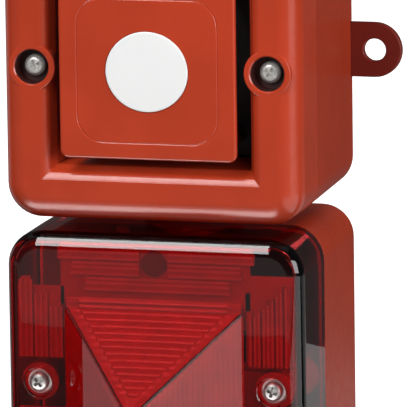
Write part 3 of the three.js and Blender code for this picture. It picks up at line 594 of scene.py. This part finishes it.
# screw bosses inside the lens
bs = Build()
for sx in (-1, 1):
    bs.turned(rounded([(2.3, 46.5), (6.6, 46.5), (6.6, 73.0), (2.3, 73.0)], 0.3, 2, closed=True), sx * SX, SZ, 32)
dress(bs.object("lens_bosses"), "strobe_lens", RIB)

# the pyramid: a smooth outer skin, and the prisms moulded on its inner side
PB, PT, PA = 30.9, 109.0, 110.4
SLOPE = (PA - FRONT_S) / PB
BREAK = 7.4  # the lowest strip of each face lies a little flatter


def skin(name):
    b = Build()
    n = 3
    sq = lambda h, r, hz=None: outline(h, hz or h, r, n, 0, TZ)
    cone = lambda d: (PA - d) / SLOPE
    d_break = FRONT_S + SLOPE * BREAK - 0.25
    outer = [(FRONT_S - 1.6, sq(PB - 0.1, 0.06, PB - 0.1)), (FRONT_S - 0.03, sq(PB + 0.08, 0.06, PB + 0.05)),
             (d_break, sq(PB - BREAK, 0.06, cone(d_break))), (PT - 1.15, sq(cone(PT - 1.15), 0.06)), (PT - 0.3, sq(1.55, 0.7)), (PT, sq(0.9, 0.5))]
    wall = 1.5
    inner = [(PT - 1.9, sq(0.55, 0.3)), (d_break - wall, sq(PB - BREAK - 0.2, 0.15)), (FRONT_S - 0.6, sq(PB - 1.15, 0.2)), (FRONT_S - 1.6, sq(PB - 1.2, 0.2))]
    k = len(outer[0][1])
    b.rings(outer, cap0=False, cap1=True)
    base = len(b.v)
    b.rings(inner, cap0=True, cap1=False)
    last = base + (len(inner) - 1) * k
    for i in range(k):
        j = (i + 1) % k
        b.face((i, j, last + j, last + i))
    dress(b.object(name), "strobe_lens", LENS, sharp=1.5)


skin("lens_pyramid")


def prisms():
    """The ridged inner side of the pyramid: level ridges on the upper and lower faces, fine upright lines on the right
    face and a plain left face.
    """
    half0, drop = PB, 2.1

    def pt(face, s, u, lift):
        z = half0 - s
        d = FRONT_S + SLOPE * max(s, 0.0) - drop + lift
        if face == 0:
            return (u, d, TZ + z)
        if face == 1:
            return (z, d, TZ - u)
        if face == 2:
            return (-u, d, TZ - z)
        return (-z, d, TZ + u)

    b = Build()
    for face in range(4):
        if face in (0, 2):
            pitch, start, end = 1.88, -3.3, 24.2
            inset = 5.0
        else:
            pitch, start, end = (1.38 if face == 1 else 1.38), 0.6, 27.0
            inset = 0.0
        rows = [(-3.6 if face in (0, 2) else 0.0, -1)]
        s = start
        while s < end:
            if face in (0, 2):
                for q in range(7):
                    rows.append((s + pitch * (0.10 + 0.80 * q / 6), q))
                rows.append((s + pitch, -1))
            elif face == 1:
                rows += [(s, -1), (s + pitch * 0.62, -1), (s + pitch * 0.72, -2), (s + pitch * 0.9, -2)]
            else:
                rows.append((s, -1))
            s += pitch
        rows.append((half0 - 1.0, -1))
        rows = sorted(rows)
        strip = []
        for s, q in rows:
            w = max(half0 - max(s, 0.0), 0.6) - 0.25
            wi = max(w - inset, 0.25)
            cols = [-w, -wi - 0.7, -wi, -wi * 0.6, 0.0, wi * 0.6, wi, wi + 0.7, w] if face in (0, 2) else [-w, -w * 0.5, 0, w * 0.5, w]
            cols = [max(-w, min(w, c)) for c in cols]
            line = []
            for c in cols:
                lift = 0.0
                if q == -2:
                    lift = -0.4
                elif q >= 0 and abs(c) <= wi + 1e-6:
                    lift = 0.85 * math.sin(math.pi * (q + 0.5) / 7)
                line.append(pt(face, s, c, lift))
            strip.append(line)
        base, m_ = len(b.v), len(strip[0])
        for line in strip:
            b.v.extend(line)
        for k in range(len(strip) - 1):
            for i in range(m_ - 1):
                a = base + k * m_ + i
                b.face((a, a + 1, a + m_ + 1, a + m_), 1 if (face in (0, 2) and (i in (0, 1, m_ - 2, m_ - 3) or rows[k][0] > end)) or (face == 3 and rows[k][0] < BREAK - 1.5) else (2 if face in (1, 3) else 0))
    me = bpy.data.meshes.new("lens_prisms")
    me.from_pydata([(x * MM, -d * MM, z * MM) for x, d, z in b.v], [], b.f)
    for p_, mi in zip(me.polygons, b.m):
        p_.material_index = mi
    o = bpy.data.objects.new("lens_prisms", me)
    scene.collection.objects.link(o)
    sol = o.modifiers.new("thick", "SOLIDIFY")
    sol.thickness, sol.offset = 0.0007, -1
    return o


PRISM_BAND = lit_red("red_lens_hip", (0.17, 0.015, 0.015, 1), rough=0.3)
PRISM_SIDE = lit_red("red_lens_side", (0.33, 0.03, 0.04, 1), rough=0.35)
dress(prisms(), "strobe_lens", [PRISM, PRISM_BAND, PRISM_SIDE], sharp=30)


def ribs():
    """The prismatic ribs behind the lens's flat margin."""
    b = Build()
    D = 74.6

    def bar(x0, z0, x1, z1, w, h=1.7, up=0.0):
        # a rounded bar from one point to another, standing back from the lens face
        a, c = Vector((x0, z0)), Vector((x1, z1))
        t = (c - a).normalized()
        nrm = Vector((-t.y, t.x))
        prof = [(-w / 2, 0), (-w / 2 * 0.8, -h * 0.6), (-w / 2 * 0.3, -h), (w / 2 * 0.3, -h), (w / 2 * 0.8, -h * 0.6), (w / 2, 0)]
        rows = [[(q.x + nrm.x * u, D + up + l, q.y + nrm.y * u) for u, l in prof] for q in (a, c)]
        b.rings(rows)

    top = SZ + STROBE_HH
    for k in range(3):
        z = top - 6.6 - 5.3 * k
        x0, x1 = -33.8 + 4.6 * k, 35.0 - 4.2 * k
        for sgn in (1, -1):
            zz = z if sgn > 0 else 2 * SZ - z
            bar(x0, zz, -5.0 if (k == 0 or k == 1) else x1, zz, 3.5)
            if k < 2:
                bar(5.0, zz, x1, zz, 3.5)
    for k in range(3):
        x = 52 - 6.8 - 5.3 * k
        hi = 36.5 - 4.6 * k
        for sx in (-1, 1):
            for sgn in (-1, 1):
                za, zb = SZ + sgn * 8.8, SZ + sgn * hi
                if sx < 0:
                    bar(sx * x, za, sx * x, zb, 3.5)
                else:
                    for q in (-1.2, 1.2):
                        bar(sx * (x + q), za, sx * (x + q), zb, 1.7, 1.3)
    n_bars = len(b.f)
    # pale strips along the bars: painted highlights on the bars' edges
    def painted_highlight_line(x0, z0, x1, z1):
        bar(x0, z0, x1, z1, 0.85, 1.9, 0.16)

    for k in range(3):
        z = top - 6.6 - 5.3 * k
        x0, x1 = -33.8 + 4.6 * k, 35.0 - 4.2 * k
        for sgn in (1, -1):
            for off in (-1.85, 0.35, 1.95):
                zz = (z + off) if sgn > 0 else 2 * SZ - (z + off)
                painted_highlight_line(x0 + (0.6 if off > 0 else 0), zz, -5.0 if k < 2 else x1, zz)
                if k < 2:
                    painted_highlight_line(5.0, zz, x1 - (0.6 if off > 0 else 0), zz)
    for k in range(3):
        x = 52 - 6.8 - 5.3 * k
        hi = 36.5 - 4.6 * k
        for sgn in (-1, 1):
            for off in (-1.9, 0.0, 1.9):
                painted_highlight_line(-x + off, SZ + sgn * 8.8, -x + off, SZ + sgn * (hi - 1.0))
    for k in range(9):
        x = 33.6 + 1.55 * k
        for sgn in (-1, 1):
            painted_highlight_line(x, SZ + sgn * 8.2, x, SZ + sgn * (24 + 1.45 * k))
    n_highlight_lines = len(b.f)
    # the field that carries them, left clear in the four corners
    def slab(x0, x1, z0, z1, d0=73.2, d1=73.9):
        c = [(x0, z0), (x1, z0), (x1, z1), (x0, z1)]
        b.rings([(d0, c), (d1, c)])

    for sgn in (-1, 1):
        z0, z1 = sorted((TZ + sgn * 31.6 if sgn < 0 else TZ + 31.6, SZ + sgn * 48.4))
        slab(-33.0, 33.5, z0, z1)
        for sx in (-1, 1):
            z0, z1 = sorted((SZ + sgn * 8.6, SZ + sgn * 33.5))
            x0, x1 = sorted((sx * 31.8, sx * 48.2))
            slab(x0, x1, z0, z1)
            if sx > 0:
                slab(x0 + 1.8, x1, *sorted((SZ + sgn * 33.5, SZ + sgn * 39.5)))
    me = bpy.data.meshes.new("lens_ribs")
    me.from_pydata([(x * MM, -d * MM, z * MM) for x, d, z in b.v], [], b.f)
    # on the left side the highlight strips and the field take darker copies of their colours: painted shade
    for i_, p_ in enumerate(me.polygons):
        beside = abs(p_.center.x) > 31.2 * MM and abs(p_.center.z - SZ * MM) < 35 * MM
        left = beside and p_.center.x < 0
        p_.material_index = (3 if beside else 0) if i_ < n_bars else ((4 if left else 1) if i_ < n_highlight_lines else (5 if left else 2))
    o = bpy.data.objects.new("lens_ribs", me)
    scene.collection.objects.link(o)
    return o


# painted highlight: a pale pink for the strips along the ribs
RIB_PAINTED_HIGHLIGHT = lit_red("red_lens_rib_painted_highlight", (0.95, 0.30, 0.32, 1), rough=0.3)
FIELD = lit_red("red_lens_field", (0.13, 0.012, 0.015, 1), rough=0.4)
RIB_SIDE = lit_red("red_lens_rib_side", (0.13, 0.018, 0.02, 1), rough=0.3)
# painted shade: darker copies of the painted highlight and of the field for the left side
RIB_HIGHLIGHT_LEFT_SHADED = lit_red("red_lens_rib_highlight_left_shaded", (0.20, 0.04, 0.045, 1), rough=0.3)
FIELD_LEFT_PAINTED_SHADE = lit_red("red_lens_field_left_painted_shade", (0.035, 0.005, 0.006, 1), rough=0.4)
dress(ribs(), "strobe_lens", [RIB, RIB_PAINTED_HIGHLIGHT, FIELD, RIB_SIDE, RIB_HIGHLIGHT_LEFT_SHADED, FIELD_LEFT_PAINTED_SHADE], sharp=50)
# a smooth round window in the top and bottom rows
win = Build()
for sgn in (1, -1):
    win.turned(rounded([(0, 72.6), (4.4, 72.6), (4.4, 74.6), (0, 74.6)], [0, 0.3, 0.3, 0], 2), 0, SZ + sgn * 42.4, 32)
dress(win.object("lens_windows"), "strobe_lens", PRISM_DARK)


# ------------------------------------------------------------------ tube and reflector
pan = Build()
rows = [(d, outline(h, h, r, 4, 0, TZ)) for h, d, r in ((14, 62, 2), (28, 71, 3), (28.4, 71.4, 3), (27.6, 71.4, 2.8), (27.2, 70.9, 2.6), (13.4, 63.6, 1.6))]
b = pan.rings(rows, loop=True)
dress(b.object("reflector_v"), "base", REFL, ["reflector"])
floor_pan = Build().rings([(63.2, outline(13.6, 13.6, 1.6, 4, 0, TZ)), (63.7, outline(13.4, 13.4, 1.6, 4, 0, TZ))])
dress(floor_pan.object("reflector_floor"), "base", REFL)

ends = Build()
for sx in (-1, 1):
    ends.turned(rounded([(0, 69.4), (2.9, 69.4), (2.9, 73.5), (0, 73.5)], [0, 0.3, 0.5, 0], 3), sx * 5, TZ, 24)
dress(ends.object("tube_end_caps"), "base", PLATED)

# ------------------------------------------------------------------ CAD nodes that keep their shape and get a finish
BOARD = plastic("board_green", (0.012, 0.10, 0.035, 1), rough=0.32, vary=0.15, grain=4000)
BLUE = plastic("blue_plastic", (0.02, 0.08, 0.3, 1), rough=0.35)
WHITEP = plastic("white_plastic", (0.8, 0.8, 0.76, 1), rough=0.35)
CAP = plastic("capacitor_sleeve", (0.012, 0.013, 0.02, 1), rough=0.3)
TAPE = plastic("winding_tape", (0.62, 0.38, 0.05, 1), rough=0.4)
COPPER = metal("copper_winding", (0.6, 0.22, 0.09, 1), rough=0.3, scale=300, stretch=(1, 12, 1))
FERRITE = plastic("ferrite", (0.02, 0.02, 0.022, 1), rough=0.6, vary=0.3, grain=1500)
FILM = plastic("diaphragm_film", (0.42, 0.28, 0.13, 1), rough=0.4)
CABLE = plastic("cable_black", (0.012, 0.012, 0.012, 1), rough=0.45)
LOOK = {
    "black_rubber": RUBBER, "grey_rubber": GREYR, "black_plastic": BLACKP, "cable_black": CABLE, "board_green": BOARD,
    "blue_plastic": BLUE, "white_plastic": WHITEP, "capacitor_sleeve": CAP, "winding_tape": TAPE, "copper_winding": COPPER,
    "driver_black": BLACKP, "ferrite": FERRITE, "plated_steel": PLATED, "diaphragm_film": FILM, "screw_steel": STEEL,
    "holder_cream": CREAM, "reflector_white": REFL, "white_badge": WHITE, "tube_glass": TUBE, "red_moulding": RED, "red_lens": LENS,
}
slot_of = {s["node"]: s["material_slot"] for s in frame["record"]["subparts"]}
for name, o in NODES.items():
    o.data.materials.clear()
    o.data.materials.append(LOOK[slot_of[name]])
    w = o.modifiers.new("weld", "WELD")
    w.merge_threshold = 1e-6
    if name in ("gland_dome_nut", "gland_body", "stopping_plug", "coupling_seal", "flash_capacitor", "trigger_coil", "tube_holder", "coupling_locknut_upper", "coupling_locknut_lower"):
        bv = o.modifiers.new("edge", "BEVEL")
        bv.width, bv.segments, bv.limit_method, bv.angle_limit = 0.0004, 2, "ANGLE", math.radians(35)

# ------------------------------------------------------------------ stage and light
def area(name, loc, look, sx, sy, power, color=(1, 1, 1), glossy=True):
    l = bpy.data.lights.new(name, "AREA")
    l.shape, l.size, l.size_y, l.energy, l.color = "RECTANGLE", sx, sy, power, color
    o = bpy.data.objects.new(name, l)
    scene.collection.objects.link(o)
    o.location = loc
    o.rotation_euler = (Vector(look) - Vector(loc)).to_track_quat("-Z", "Y").to_euler()
    o.visible_camera = False
    o.visible_glossy = glossy
    return o


low = CAD_BOX[0][2]
fl = bpy.data.meshes.new("floor")
fl.from_pydata([(-8, -8, low - 0.0006), (8, -8, low - 0.0006), (8, 8, low - 0.0006), (-8, 8, low - 0.0006)], [], [(0, 1, 2, 3)])
floor = bpy.data.objects.new("floor", fl)
scene.collection.objects.link(floor)
fm, nt, p = new_mat("floor_pale")
p.inputs["Base Color"].default_value = (0.6, 0.6, 0.6, 1)
p.inputs["Roughness"].default_value = 1.0
p.inputs["Specular IOR Level"].default_value = 0.0
p.inputs["Emission Color"].default_value = (1, 1, 1, 1)
p.inputs["Emission Strength"].default_value = 0.92
fl.materials.append(fm)
floor.visible_diffuse = False
floor.visible_glossy = False
floor.visible_shadow = False
floor.visible_transmission = False


def card(name, pts, value):
    """A studio card that only reflections see."""
    me = bpy.data.meshes.new(name)
    me.from_pydata(pts, [], [(0, 1, 2, 3)])
    o = bpy.data.objects.new(name, me)
    scene.collection.objects.link(o)
    mt, nt, p = new_mat(name)
    p.inputs["Base Color"].default_value = (0, 0, 0, 1)
    p.inputs["Specular IOR Level"].default_value = 0
    p.inputs["Roughness"].default_value = 1
    p.inputs["Emission Color"].default_value = (1, 1, 1, 1)
    p.inputs["Emission Strength"].default_value = value
    me.materials.append(mt)
    o.visible_camera = False
    o.visible_diffuse = False
    o.visible_shadow = False
    o.visible_transmission = False
    return o


z0 = low + 0.003
card("card_front_near", [(-0.15, -0.205, z0), (0.055, -0.205, z0), (0.055, -0.112, z0), (-0.15, -0.112, z0)], 7.0)
card("card_front_mid", [(-1.5, -0.72, z0), (1.0, -0.72, z0), (1.0, -0.50, z0), (-1.5, -0.50, z0)], 0.42)
card("card_front_dim", [(-1.5, -0.50, z0), (1.0, -0.50, z0), (1.0, -0.31, z0), (-1.5, -0.31, z0)], 0.15)
card("card_front_soft", [(-0.15, -0.31, z0), (0.055, -0.31, z0), (0.055, -0.206, z0), (-0.15, -0.206, z0)], 0.9)
card("card_front_far", [(-2.5, -2.6, z0), (1.0, -2.6, z0), (1.0, -0.72, z0), (-2.5, -0.72, z0)], 0.1)
card("card_floor_right", [(0.13, -0.45, z0), (0.66, -0.45, z0), (0.66, -0.01, z0), (0.13, -0.01, z0)], 1.8)
card("card_back_right", [(0.0, 0.10, z0), (0.6, 0.10, z0), (0.6, 0.62, z0), (0.0, 0.228, z0)], 0.45)
card("card_left", [(-0.3, -0.002, -0.5), (-0.3, 0.2, -0.5), (-0.3, 0.2, 0.0), (-0.3, -0.002, 0.0)], 0.45)
card("card_above", [(-1.2, -0.425, 1.22), (0.9, -0.425, 1.22), (0.9, 0.6, 1.22), (-1.2, 0.6, 1.22)], 0.25)

# a long softbox that runs from overhead down to the front, in three lengths, and soft fills
P1, P2 = Vector((-0.33, -0.43, 1.2)), Vector((-0.5, -1.85, 0.4))
for nm, t0, t1, watts in (("key_top", 0.0, 0.3, 6), ("key_middle", 0.3, 0.65, 6), ("key_front", 0.65, 1.0, 6)):
    A, B = P1.lerp(P2, t0), P1.lerp(P2, t1)
    mid = (A + B) / 2
    key = bpy.data.lights.new(nm, "AREA")
    key.shape, key.size, key.size_y = "RECTANGLE", 0.33, (B - A).length
    key.energy = watts
    ko = bpy.data.objects.new(nm, key)
    scene.collection.objects.link(ko)
    yv = (A - B).normalized()
    zv = (mid - Vector((0, 0, -0.05)))
    zv = (zv - yv * zv.dot(yv)).normalized()
    xv = yv.cross(zv)
    mk = Matrix((xv, yv, zv)).transposed().to_4x4()
    mk.translation = mid
    ko.matrix_world = mk
    ko.visible_camera = False

area("fill_right", (1.5, -0.6, 0.3), (0, 0, -0.05), 0.9, 0.9, 18)
area("fill_left", (-1.6, -0.2, 0.4), (0, 0, -0.05), 0.8, 0.9, 2, glossy=False)
area("fill_front", (0.55, -0.75, 0.25), (0, 0, -0.05), 0.35, 0.35, 1.5, glossy=False)
area("fill_back", (0.2, 1.7, 1.0), (0, 0, -0.05), 1.0, 1.0, 14, glossy=False)

world = bpy.data.worlds.new("world")
scene.world = world
world.use_nodes = True
wt = world.node_tree
wbg = wt.nodes["Background"]
wbg.inputs["Color"].default_value = (1, 1, 1, 1)
lp = wt.nodes.new("ShaderNodeLightPath")
mr = wt.nodes.new("ShaderNodeMapRange")
mr.inputs["To Min"].default_value, mr.inputs["To Max"].default_value = 0.065, 1.0
wt.links.new(lp.outputs["Is Camera Ray"], mr.inputs["Value"])
wt.links.new(mr.outputs["Result"], wbg.inputs["Strength"])
scene.view_settings.view_transform = "Standard"
scene.view_settings.look = "None"
